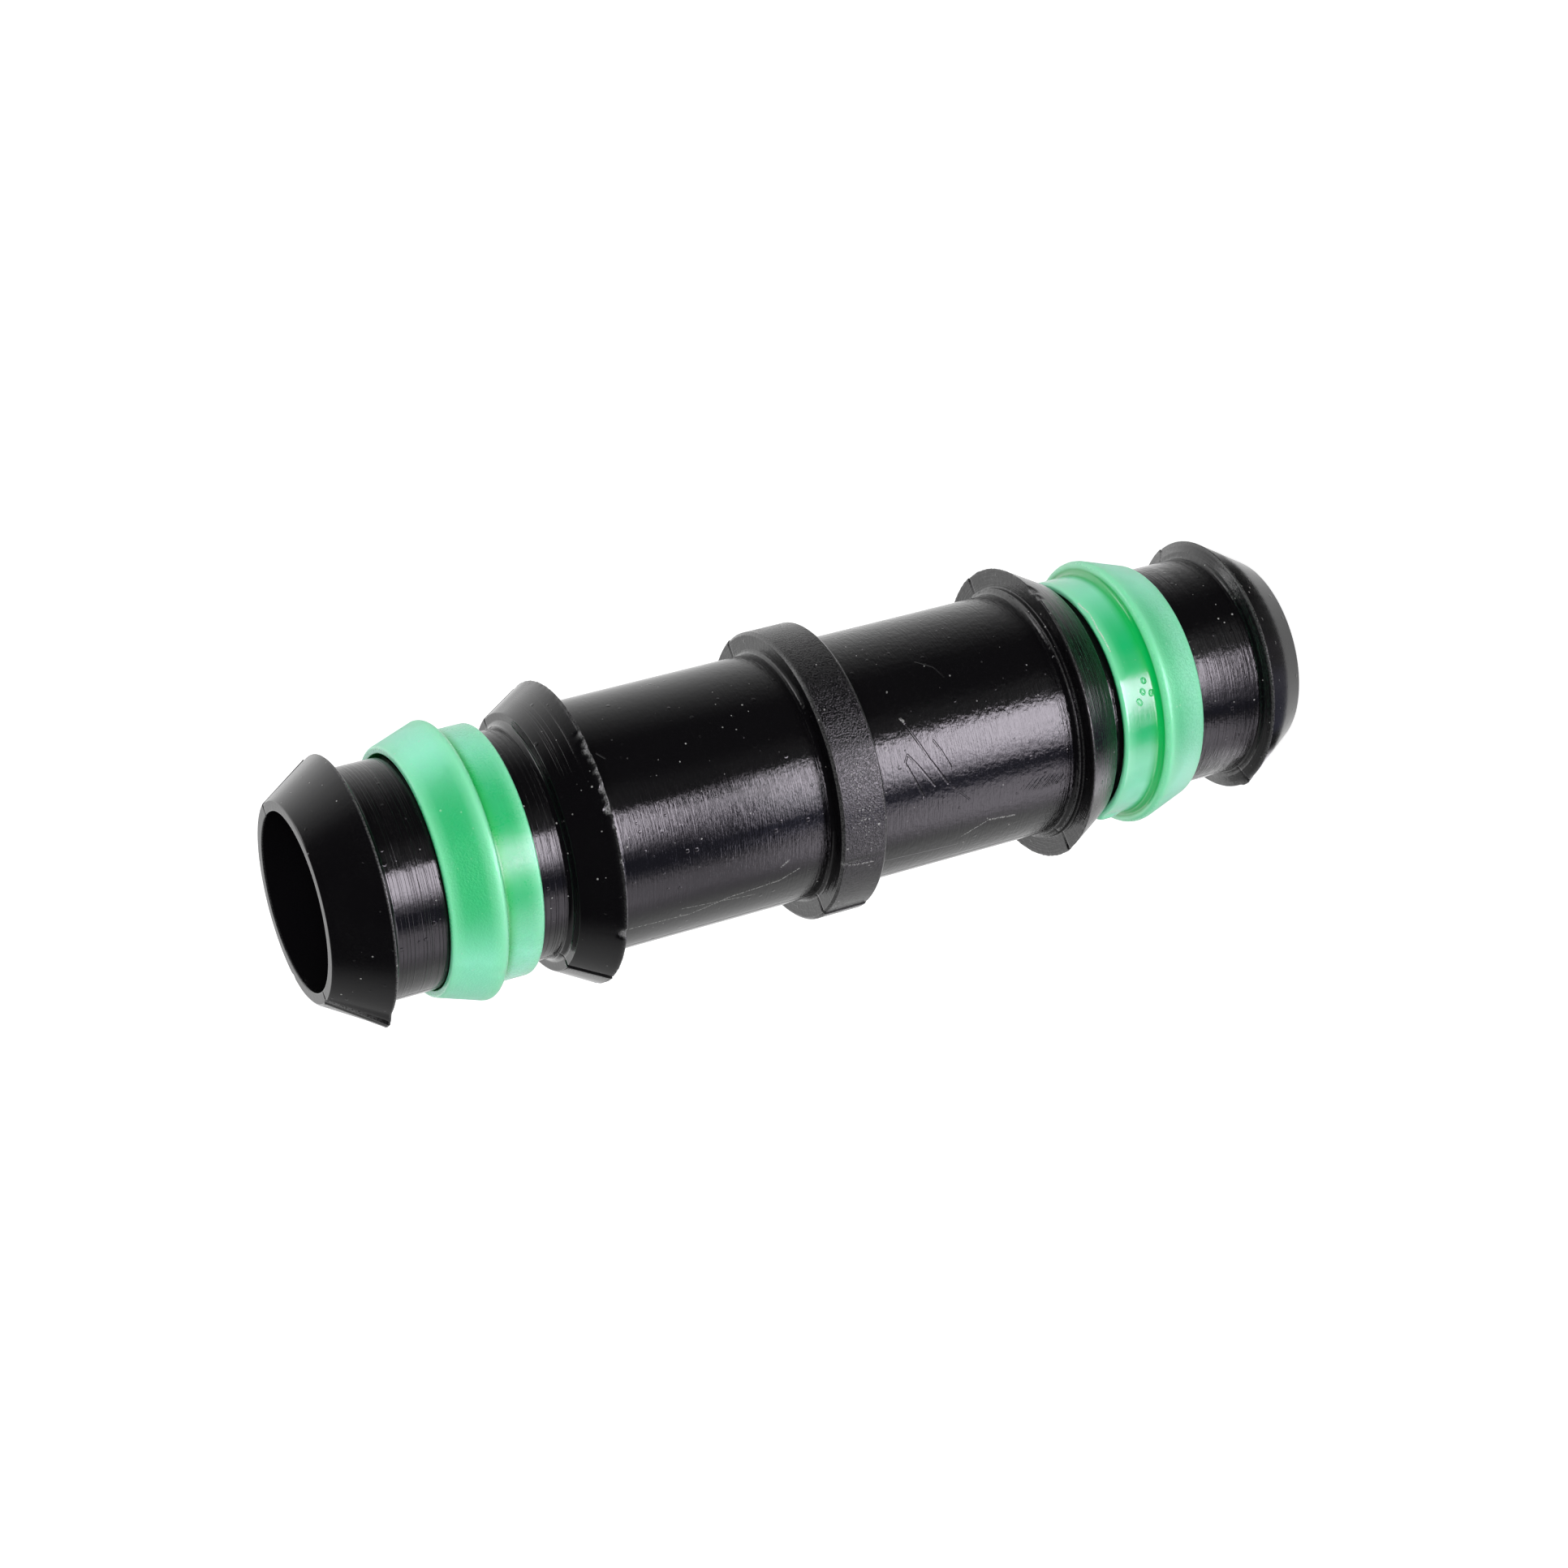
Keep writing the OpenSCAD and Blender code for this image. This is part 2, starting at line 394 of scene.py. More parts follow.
def bodyOutline(s):
    plain = edge()
    slope = (s["noseCrest"] - s["noseBack"]) / (s["noseR"] - s["neckR"])
    ridges = []
    for radius in s["ridges"]:
        height = s["noseBack"] + (radius - s["neckR"]) * slope
        ridges += [(radius, height, 0, edge(worn=0.04), "face"),
                   (radius - 0.02, height - s["ridgeDepth"], 0, plain, "face")]
    upper = [
        (s["boreR"], s["end"], s["boreRound"], edge(worn=0.12), "face"),
        (s["tipR"], s["end"], s["tipRound"], edge(proud=1), "cone"),
        (s["noseR"], s["noseCrest"], s["noseRound"], edge(proud=1, ragged=0.012, worn=0.35), "face"),
        *ridges,
        (s["neckR"], s["noseBack"], s["noseFillet"], plain, "neck"),
        (s["neckR"], s["barbFace"], s["barbFillet"], plain, "face"),
        (s["barbFaceR"], s["barbFace"], 0.05, edge(proud=1), "barb"),
        (s["barbR"], s["barbCrest"], 0.02, edge(proud=1, ragged=0.055, worn=0.22), "face"),
        (s["barbR"], s["barbBack"], 0.02, edge(proud=1, ragged=0.055, worn=0.18), "face"),
        (s["shoulderR"], s["barbBack"], 0.04, edge(worn=0.1), "face"),
        (s["shoulderR"], s["shoulderEnd"], 0.05, edge(ragged=0.01, worn=0.2), "gloss"),
        (s["tubeR"], s["shoulderEnd"], s["shoulderFillet"], plain, "gloss"),
        (s["tubeR"], s["collarFace"], s["collarFillet"], plain, "face"),
        (s["collarR"] - s["collarChamfer"], s["collarFace"], 0.03, edge(proud=1, worn=0.3), "face"),
        (s["collarR"], s["collarFace"] - s["collarChamfer"], 0.03, edge(proud=1, ragged=0.006, worn=0.2),
         "collar"),
    ]
    before = ["bore"] + [corner[4] for corner in upper[:-1]]
    lower = [(r, -h, size, mark, name) for (r, h, size, mark, _), name in zip(upper, before)]
    return smoothOutline(upper + lower[::-1], **s["rows"])


ringSizes = {  # millimetres, heights above the sleeve's end
    "boreR": 6.5, "boreEdge": 0.1, "barbEdge": 0.27,  # more at the barb, to seat on the neck's fillet
    "sleeveR": 7.0, "sleeveLength": 2.3,
    "valley": {"valleyTop": 1.55, "valleyMiddle": 1.75, "valleyFloor": 1.92},
    "crestR": 7.85, "tipR": 6.9, "length": 5.2, "rimRound": 0.18, "crestRound": 0.3, "grooveR": 0.3,
    "columns": 240, "partingGap": 0.5, "mouldStep": 0.0, "groove": 0.0, "wobble": 0.02, "seed": 9,
    "rows": {"holds": (0.1, 0.2), "raggedHolds": (), "longest": 0.45, "steps": 6, "wornReach": (0.8, 0.8)},
    "offAxis": (0.06, -0.013),  # the top ring sits this much to one side, and the bottom ring to the other
}


def ringOutline(s):
    # On a ring, matte is pale and sandy; inside is the deep green valley, painted shade and bounced light in
    # the groove; and worn marks the rims, painted paler as a glow of light through the thin edges, and the
    # knocks, painted paler as wear
    corners = [
        (s["boreR"], 0, s["barbEdge"], edge(), "face"),
        (s["sleeveR"], 0, s["rimRound"], edge(worn=0.9, ragged=0.01), "gloss"),
        *((s["sleeveR"], height, 0, edge(), name) for name, height in s["valley"].items()),
        (s["sleeveR"], s["sleeveLength"], s["grooveR"], edge(), "bore"),
        (s["crestR"], s["sleeveLength"], s["crestRound"], edge(worn=1, ragged=0.019), "cone"),
        (s["tipR"], s["length"], s["rimRound"], edge(worn=0.8, ragged=0.008), "face"),
        (s["boreR"], s["length"], s["boreEdge"], edge(), "bore"),
    ]
    return smoothOutline(corners, **s["rows"])


# The tree that turns an outline into a closed round piece, with the mould's parting line and ragged crests
turning = {
    "chipScale": 2600.0, "chipDetail": 3.0,
    "chipDepth": 2.0, "chipRise": 0.8,  # how far a crest is ragged in radius, and in height
    "waveScale": 3.0, "waveDetail": 1.0,
    "plainGroove": 0.25,  # share of the parting groove that shows away from the proud stretches
}
unrollRadius = 7 * mm
surfaceMarks = ("matte", "grain", "inside", "lathe", "worn")


def buildTurningTree():
    tree = bpy.data.node_groups.new("turnedPiece", "GeometryNodeTree")
    sockets = {"Outline": "Geometry", "Columns per half": "Int", "Parting gap": "Float",
               "Mould step": "Float", "Parting groove": "Float", "Wobble": "Float", "Seed": "Int",
               "Finish": "Material"}
    for label, kind in sockets.items():
        tree.interface.new_socket(label, in_out="INPUT", socket_type="NodeSocket" + kind)
    tree.interface.new_socket("Piece", in_out="OUTPUT", socket_type="NodeSocketGeometry")
    given = tree.nodes.new("NodeGroupInput").outputs
    result = tree.nodes.new("NodeGroupOutput").inputs
    calc = partial(mathNode, tree)

    size = addNode(tree, "GeometryNodeAttributeDomainSize", {"Geometry": given["Outline"]})
    rows = size.outputs["Point Count"]
    perHalf = calc("ADD", given["Columns per half"], 1)
    columns = calc("ADD", calc("MULTIPLY", perHalf, 2), 1)
    grid = addNode(tree, "GeometryNodeMeshGrid", {"Vertices X": columns, "Vertices Y": rows})
    index = addNode(tree, "GeometryNodeInputIndex").outputs[0]
    column = calc("FLOOR", calc("DIVIDE", calc("ADD", index, 0.5), rows))
    row = calc("SUBTRACT", index, calc("MULTIPLY", column, rows))

    def along(kind, name=None):
        # What the outline has at this row: its position, or one of its marks
        if name:
            source = addNode(tree, "GeometryNodeInputNamedAttribute", {"Name": name}, data_type=kind)
        else:
            source = addNode(tree, "GeometryNodeInputPosition")
        picked = {"Geometry": given["Outline"], "Value": source.outputs[0], "Index": row}
        return addNode(tree, "GeometryNodeSampleIndex", picked, data_type=kind).outputs[0]

    spot = addNode(tree, "ShaderNodeSeparateXYZ", {0: along("FLOAT_VECTOR")}).outputs
    names = ("proud", "ragged", "travel", "outR", "outZ")
    proud, ragged, travel, outR, outZ = (along("FLOAT", name) for name in names)

    half = calc("FLOOR", calc("DIVIDE", calc("ADD", column, 0.5), perHalf))
    step = calc("SUBTRACT", column, calc("MULTIPLY", half, perHalf))
    gap = calc("RADIANS", calc("DIVIDE", given["Parting gap"], 2))
    span = calc("SUBTRACT", math.pi, calc("MULTIPLY", gap, 2))
    turn = calc("MULTIPLY", span, calc("DIVIDE", step, given["Columns per half"]))
    angle = calc("ADD", calc("ADD", calc("MULTIPLY", half, math.pi), gap), turn)
    cosine, sine = calc("COSINE", angle), calc("SINE", angle)

    def noiseAt(x, y, scale, detail):
        # Noise read round the axis, so that it closes on itself
        vector = addNode(tree, "ShaderNodeCombineXYZ", {0: x, 1: y, 2: spot["Z"]}).outputs[0]
        inputs = {"Vector": vector, "W": given["Seed"], "Scale": scale, "Detail": detail, "Roughness": 0.6}
        node = addNode(tree, "ShaderNodeTexNoise", inputs, noise_dimensions="4D")
        return calc("SUBTRACT", node.outputs[0], 0.5)

    chips = noiseAt(calc("MULTIPLY", cosine, spot["X"]), calc("MULTIPLY", sine, spot["X"]),
                    turning["chipScale"], turning["chipDetail"])
    waves = noiseAt(cosine, sine, turning["waveScale"], turning["waveDetail"])
    onFirstHalf = calc("LESS_THAN", half, 0.5)
    atStart = calc("LESS_THAN", step, 0.5)
    atEnd = calc("GREATER_THAN", step, calc("SUBTRACT", given["Columns per half"], 0.5))
    onParting = calc("MAXIMUM", atStart, atEnd)
    raised = calc("MULTIPLY", calc("MULTIPLY", proud, onFirstHalf), given["Mould step"])
    raised = calc("MULTIPLY", raised, calc("SUBTRACT", 1.0, onParting))
    sunk = calc("MULTIPLY", calc("MULTIPLY", onParting, given["Parting groove"]),
                calc("ADD", turning["plainGroove"], proud))
    radius = calc("ADD", spot["X"], calc("MULTIPLY", waves, given["Wobble"]))
    radius = calc("ADD", radius, calc("MULTIPLY", chips, calc("MULTIPLY", ragged, turning["chipDepth"])))
    radius = calc("SUBTRACT", calc("ADD", radius, raised), calc("MULTIPLY", sunk, outR))
    height = calc("ADD", spot["Z"], calc("MULTIPLY", calc("MULTIPLY", chips, ragged), turning["chipRise"]))
    height = calc("SUBTRACT", height, calc("MULTIPLY", sunk, outZ))
    newSpot = addNode(tree, "ShaderNodeCombineXYZ", {
        0: calc("MULTIPLY", cosine, radius), 1: calc("MULTIPLY", sine, radius), 2: height}).outputs[0]

    across = calc("MULTIPLY", angle, unrollRadius)
    unrolled = addNode(tree, "ShaderNodeCombineXYZ", {0: across, 1: travel}).outputs[0]
    unrolled = addNode(tree, "GeometryNodeFieldOnDomain", {0: unrolled}, data_type="FLOAT_VECTOR",
                       domain="POINT").outputs[0]  # each corner takes its own point's value
    mesh = addNode(tree, "GeometryNodeStoreNamedAttribute",
                   {"Geometry": grid.outputs["Mesh"], "Name": "unrolled", "Value": unrolled},
                   data_type="FLOAT2", domain="CORNER").outputs[0]
    for name in surfaceMarks:
        kept = {"Geometry": mesh, "Name": name, "Value": along("FLOAT", name)}
        mesh = addNode(tree, "GeometryNodeStoreNamedAttribute", kept, data_type="FLOAT",
                       domain="POINT").outputs[0]
    steps = [("SetPosition", {"Position": newSpot}), ("MergeByDistance", {"Distance": 1e-6}),
             ("SetShadeSmooth", {}), ("RealizeInstances", {}),
             ("SetMaterial", {"Material": given["Finish"]})]
    for kind, inputs in steps:
        mesh = addNode(tree, "GeometryNode" + kind, {"Geometry": mesh, **inputs}).outputs[0]
    tree.links.new(mesh, result["Piece"])
    print("turning tree built")
    return tree


def outlineMesh(name, outline, zAt, flip):
    # The outline as a chain of points in the XZ plane, in metres, with its marks and its outward direction
    points = [(r * mm, 0, (zAt + (-h if flip else h)) * mm) for (r, h), _ in outline]
    mesh = bpy.data.meshes.new(name)
    mesh.from_pydata(points, [(i, i + 1) for i in range(len(points) - 1)], [])
    lengths = [math.dist(points[i], points[i + 1]) for i in range(len(points) - 1)]
    loop = np.array(points)[:-1, ::2]
    along = np.roll(loop, -1, axis=0) - np.roll(loop, 1, axis=0)
    outwards = np.stack([along[:, 1], -along[:, 0]], axis=1) / np.linalg.norm(along, axis=1)[:, None]
    if (loop[:, 0] * along[:, 1]).sum() < 0:
        outwards = -outwards
    outwards = np.vstack([outwards, outwards[:1]])
    values = {"travel": np.concatenate([[0], np.cumsum(lengths)])}
    values["outR"], values["outZ"] = outwards.T
    for key in outline[0][1]:
        unit = mm if key == "ragged" else 1
        values[key] = np.array([mark[key] * unit for _, mark in outline])
    for key, numbers in values.items():
        mesh.attributes.new(key, "FLOAT", "POINT").data.foreach_set("value", numbers.astype(np.float32))
    return mesh


def turnPiece(name, outline, sizes, material, tree, zAt, flip=False):
    blank = bpy.data.objects.new(name + "Outline", outlineMesh(name, outline, zAt, flip))
    bpy.context.scene.collection.objects.link(blank)
    modifier = blank.modifiers.new("turn", "NODES")
    modifier.node_group = tree
    values = {
        "Columns per half": sizes["columns"], "Parting gap": sizes["partingGap"],
        "Mould step": sizes["mouldStep"] * mm, "Parting groove": sizes["groove"] * mm,
        "Wobble": sizes["wobble"] * mm, "Seed": sizes["seed"], "Finish": material,
    }
    for item in tree.interface.items_tree:
        if item.item_type == "SOCKET" and item.in_out == "INPUT" and item.name in values:
            modifier[item.identifier] = values[item.name]
    graph = bpy.context.evaluated_depsgraph_get()
    mesh = bpy.data.meshes.new_from_object(blank.evaluated_get(graph), depsgraph=graph)
    mesh.name = name
    bpy.data.objects.remove(blank)
    piece = bpy.data.objects.new(name, mesh)
    bpy.context.scene.collection.objects.link(piece)
    faceOutwards(mesh)
    print(name, "turned:", len(outline), "rows,", len(mesh.polygons) * 2, "triangles")
    return piece


def vertexArray(mesh):
    places = np.empty(len(mesh.vertices) * 3)
    mesh.vertices.foreach_get("co", places)
    return places.reshape(-1, 3)


def faceOutwards(mesh):
    # The enclosed volume is positive when the faces point outwards
    mesh.calc_loop_triangles()
    corners = np.empty(len(mesh.loop_triangles) * 3, dtype=np.int32)
    mesh.loop_triangles.foreach_get("vertices", corners)
    a, b, c = (vertexArray(mesh)[corners.reshape(-1, 3)[:, k]] for k in range(3))
    if np.einsum("ij,ij->i", a, np.cross(b, c)).sum() < 0:
        mesh.flip_normals()


# Knocks that the coupling has had. Each is its degrees round, then in millimetres its height, half width,
# half height and depth. A negative depth is a lump.
bodyKnocks = [
    (-67.9, 43.98, 0.28, 0.30, 0.10), (-72.4, 43.98, 0.35, 0.32, 0.10), (-75.2, 43.98, 0.36, 0.42, 0.20),
    (-79.0, 43.98, 0.50, 0.30, 0.09), (-84.3, 43.98, 0.30, 0.30, 0.11), (-88.0, 43.98, 0.40, 0.25, 0.06),
    (-91.3, 43.98, 0.38, 0.36, 0.14), (-95.0, 43.98, 0.40, 0.28, 0.08), (-98.9, 43.98, 0.40, 0.45, 0.20),
    (-105.0, 43.98, 0.25, 0.22, 0.06), (-118.0, 43.98, 0.22, 0.22, 0.05), (-148.9, 43.98, 0.45, 0.42, 0.16),
    (-52.2, 15.42, 0.55, 0.35, 0.16), (-57.5, 15.42, 0.30, 0.30, 0.10), (-145.7, 30.98, 0.25, 0.25, 0.10),
    (-3.5, 59.38, 0.25, 0.20, 0.06), (121.0, 59.38, 0.30, 0.25, 0.10), (150.0, 59.40, 1.60, 0.12, 0.04),
    (179.0, 59.38, 0.35, 0.30, 0.12), (176.5, 56.42, 1.30, 0.60, -0.28), (3.0, 56.42, 0.80, 0.40, -0.06),
    (176.8, 2.98, 0.80, 0.40, -0.10),
]
bottomRingKnocks = [
    (172.0, 11.9, 0.75, 0.9, -0.16), (-166.0, 9.6, 0.5, 0.5, 0.06), (-59.0, 12.45, 0.8, 0.18, 0.07),
    (-72.0, 12.45, 1.2, 0.16, 0.08), (-82.0, 12.45, 0.7, 0.16, 0.06),
]
topRingKnocks = [(-160.0, 50.6, 0.5, 0.4, 0.05), (100.0, 48.1, 0.6, 0.3, 0.06)]
knocking = {
    "outside": 5.3,  # only what lies further out than this radius is knocked, so that the bore stays round
    "slope": 1.5, "leastReach": 0.3,
    "wornFrom": 0.4, "wornFull": 0.9,  # how deep in the knock the wear begins and is full
    "wornDepth": 0.125,  # a knock of this depth is fully worn
}


def knock(piece, knocks, shift):
    # Presses each knock into the outside, marks it as worn, and slides a loose ring sideways
    mesh = piece.data
    places = vertexArray(mesh)
    worn = np.empty(len(mesh.vertices))
    mesh.attributes["worn"].data.foreach_get("value", worn)
    radius = np.hypot(places[:, 0], places[:, 1])
    outside = radius > knocking["outside"] * mm
    angle = np.degrees(np.arctan2(places[:, 1], places[:, 0]))
    change = np.zeros(len(radius))
    for turn, height, width, tall, depth in knocks:
        arc = np.radians((angle - turn + 180) % 360 - 180) * radius / mm
        up = places[:, 2] / mm - height
        far = np.hypot(arc / width, up / tall)
        deep = (radius[(far < 1) & outside].max() - radius) / mm
        share = 1 - np.hypot(far, deep / max(tall, knocking["leastReach"]))
        share = np.clip(knocking["slope"] * share, 0, 1) * outside
        share = share * share * (3 - 2 * share)
        change -= share * depth * mm
        if depth > 0:
            rubbed = (share - knocking["wornFrom"]) / (knocking["wornFull"] - knocking["wornFrom"])
            worn = np.maximum(worn, np.clip(rubbed, 0, 1) * min(1, depth / knocking["wornDepth"]))
    places[:, :2] *= (1 + change / radius)[:, None]
    places[:, :2] += shift * mm
    mesh.vertices.foreach_set("co", places.ravel())
    mesh.attributes["worn"].data.foreach_set("value", worn.astype(np.float32))
    mesh.update()


# Effects that both plastics use
rippling = {"slant": (0.9, 1.0, 0.0), "narrow": (3.2, 1.0, 0.0), "bendSize": 0.5 * mm, "bend": 0.25 * mm}


def buildEffects():
    effects = {}

    # Noise drawn out round the axis, as turning marks are
    inputs = {"Unrolled": None, "Length": 1.0, "Width": 0.15, "Detail": 2.0}
    tree, given, result = newGroup("turningMarks", inputs)
    scale = addNode(tree, "ShaderNodeCombineXYZ", {
        0: mathNode(tree, "DIVIDE", 1 / mm, given["Length"]),
        1: mathNode(tree, "DIVIDE", 1 / mm, given["Width"])}).outputs[0]
    drawn = vectorMath(tree, "MULTIPLY", given["Unrolled"], scale)
    tree.links.new(noise(tree, drawn, 1.0, given["Detail"], 0.6), result)
    effects["turningMarks"] = tree

    # A cloudy or grainy value of a given size in millimetres
    inputs = {"Place": None, "Size": 1.0, "Detail": 2.0, "Low": 0.3, "High": 0.7}
    tree, given, result = newGroup("grains", inputs)
    scale = mathNode(tree, "DIVIDE", 1 / mm, given["Size"])
    value = noise(tree, given["Place"], scale, given["Detail"], 0.55)
    tree.links.new(remap(tree, value, given["Low"], given["High"]), result)
    effects["grains"] = tree

    # Small separate dots, of a given spacing and size in millimetres
    inputs = {"Place": None, "Spacing": 0.6, "Size": 0.06, "Share": 0.5}
    tree, given, result = newGroup("specks", inputs)
    inputs = {"Vector": given["Place"], "Scale": mathNode(tree, "DIVIDE", 1 / mm, given["Spacing"]),
              "Randomness": 1.0}
    cells = addNode(tree, "ShaderNodeTexVoronoi", inputs)
    chance = addNode(tree, "ShaderNodeSeparateColor", {0: cells.outputs["Color"]}).outputs
    reach = mathNode(tree, "DIVIDE", given["Size"], given["Spacing"])
    reach = mathNode(tree, "MULTIPLY", reach, mathNode(tree, "ADD", 0.4, chance[1]))
    dot = mathNode(tree, "SUBTRACT", 1.0, mathNode(tree, "DIVIDE", cells.outputs["Distance"], reach))
    dot = mathNode(tree, "MULTIPLY", remap(tree, dot, 0.0, 0.5),
                   mathNode(tree, "LESS_THAN", chance[0], given["Share"]))
    tree.links.new(dot, result)
    effects["specks"] = tree

    # One straight scratch between two spots of the unrolled surface
    inputs = {"Spot": None, "Start": None, "End": None, "Width": 0.05 * mm}
    tree, given, result = newGroup("scratch", inputs)
    away = vectorMath(tree, "SUBTRACT", given["Spot"], given["Start"])
    line = vectorMath(tree, "SUBTRACT", given["End"], given["Start"])
    square = mathNode(tree, "MAXIMUM", vectorMath(tree, "DOT_PRODUCT", line, line), 1e-12)
    share = mathNode(tree, "DIVIDE", vectorMath(tree, "DOT_PRODUCT", away, line), square)
    share = addNode(tree, "ShaderNodeClamp", {0: share}).outputs[0]
    onLine = addNode(tree, "ShaderNodeVectorMath", {0: line, "Scale": share}, operation="SCALE").outputs[0]
    half = mathNode(tree, "DIVIDE", vectorMath(tree, "DISTANCE", away, onLine), given["Width"])
    tree.links.new(remap(tree, half, 0.5, 0.1), result)
    effects["scratch"] = tree

    # A row of short slanted ripples, as chatter leaves
    inputs = {"Spot": None, "Centre": None, "Reach": 1.0 * mm, "Period": 0.2 * mm}
    tree, given, result = newGroup("ripples", inputs)
    away = vectorMath(tree, "SUBTRACT", given["Spot"], given["Centre"])
    bend = mathNode(tree, "MULTIPLY", noise(tree, away, 1 / rippling["bendSize"], 1.0), rippling["bend"])
    far = mathNode(tree, "ADD", vectorMath(tree, "DOT_PRODUCT", away, rippling["slant"]), bend)
    turns = mathNode(tree, "DIVIDE", mathNode(tree, "MULTIPLY", far, 2 * math.pi), given["Period"])
    row = vectorMath(tree, "LENGTH", vectorMath(tree, "MULTIPLY", away, rippling["narrow"]))
    fade = remap(tree, mathNode(tree, "DIVIDE", row, given["Reach"]), 1.0, 0.5)
    tree.links.new(mathNode(tree, "MULTIPLY", mathNode(tree, "SINE", turns), fade), result)
    effects["ripples"] = tree
    print("shared effects built")
    return effects


def startFinish(name, look, effects):
    # A new material, with the outline's marks and every grain, speck and turning mark that its look names
    material = bpy.data.materials.new(name)
    material.use_nodes = True
    tree = material.node_tree
    place = addNode(tree, "ShaderNodeTexCoord").outputs["Object"]
    unrolled = addNode(tree, "ShaderNodeUVMap", uv_map="unrolled").outputs[0]
    has = {mark: addNode(tree, "ShaderNodeAttribute", attribute_name=mark).outputs["Fac"]
           for mark in surfaceMarks}
    has["place"], has["up"] = place, addNode(tree, "ShaderNodeSeparateXYZ", {0: place}).outputs[2]
    for kind, source in (("grains", {"Place": place}), ("specks", {"Place": place}),
                         ("turningMarks", {"Unrolled": unrolled})):
        for label, values in look[kind].items():
            has[label] = useGroup(tree, effects[kind], **source, **values)
    across = addNode(tree, "ShaderNodeSeparateXYZ", {0: unrolled}).outputs[0]
    spot = addNode(tree, "ShaderNodeCombineXYZ", {0: across, 1: has["up"]}).outputs[0]
    return material, tree, spot, has


def endFinish(tree, colour, roughness, layers):
    # Each layer of the relief is its value, where it shows, and its depth in millimetres
    height = 0.0
    for value, where, depth in layers:
        part = mathNode(tree, "MULTIPLY", value, mathNode(tree, "MULTIPLY", where, depth))
        height = mathNode(tree, "ADD", height, part)
    bump = addNode(tree, "ShaderNodeBump", {"Strength": 1.0, "Distance": mm, "Height": height})
    shader = tree.nodes["Principled BSDF"]
    for name, value in (("Base Color", colour), ("Roughness", roughness), ("Normal", bump.outputs[0])):
        tree.links.new(value, shader.inputs[name])
    return shader


def spotAt(degrees, height):
    return (math.radians(degrees % 360) * unrollRadius, height * mm, 0)


def drawScratches(tree, effects, spot, lines):
    # Each line is its width in millimetres, its strength, and its spots as (degrees round, height)
    total = None
    for width, strength, spots in lines:
        for first, second in zip(spots[:-1], spots[1:]):
            one = useGroup(tree, effects["scratch"], Spot=spot, Start=spotAt(*first), End=spotAt(*second),
                           Width=width * mm)
            one = mathNode(tree, "MULTIPLY", one, strength)
            total = one if total is None else mathNode(tree, "MAXIMUM", total, one)
    return total


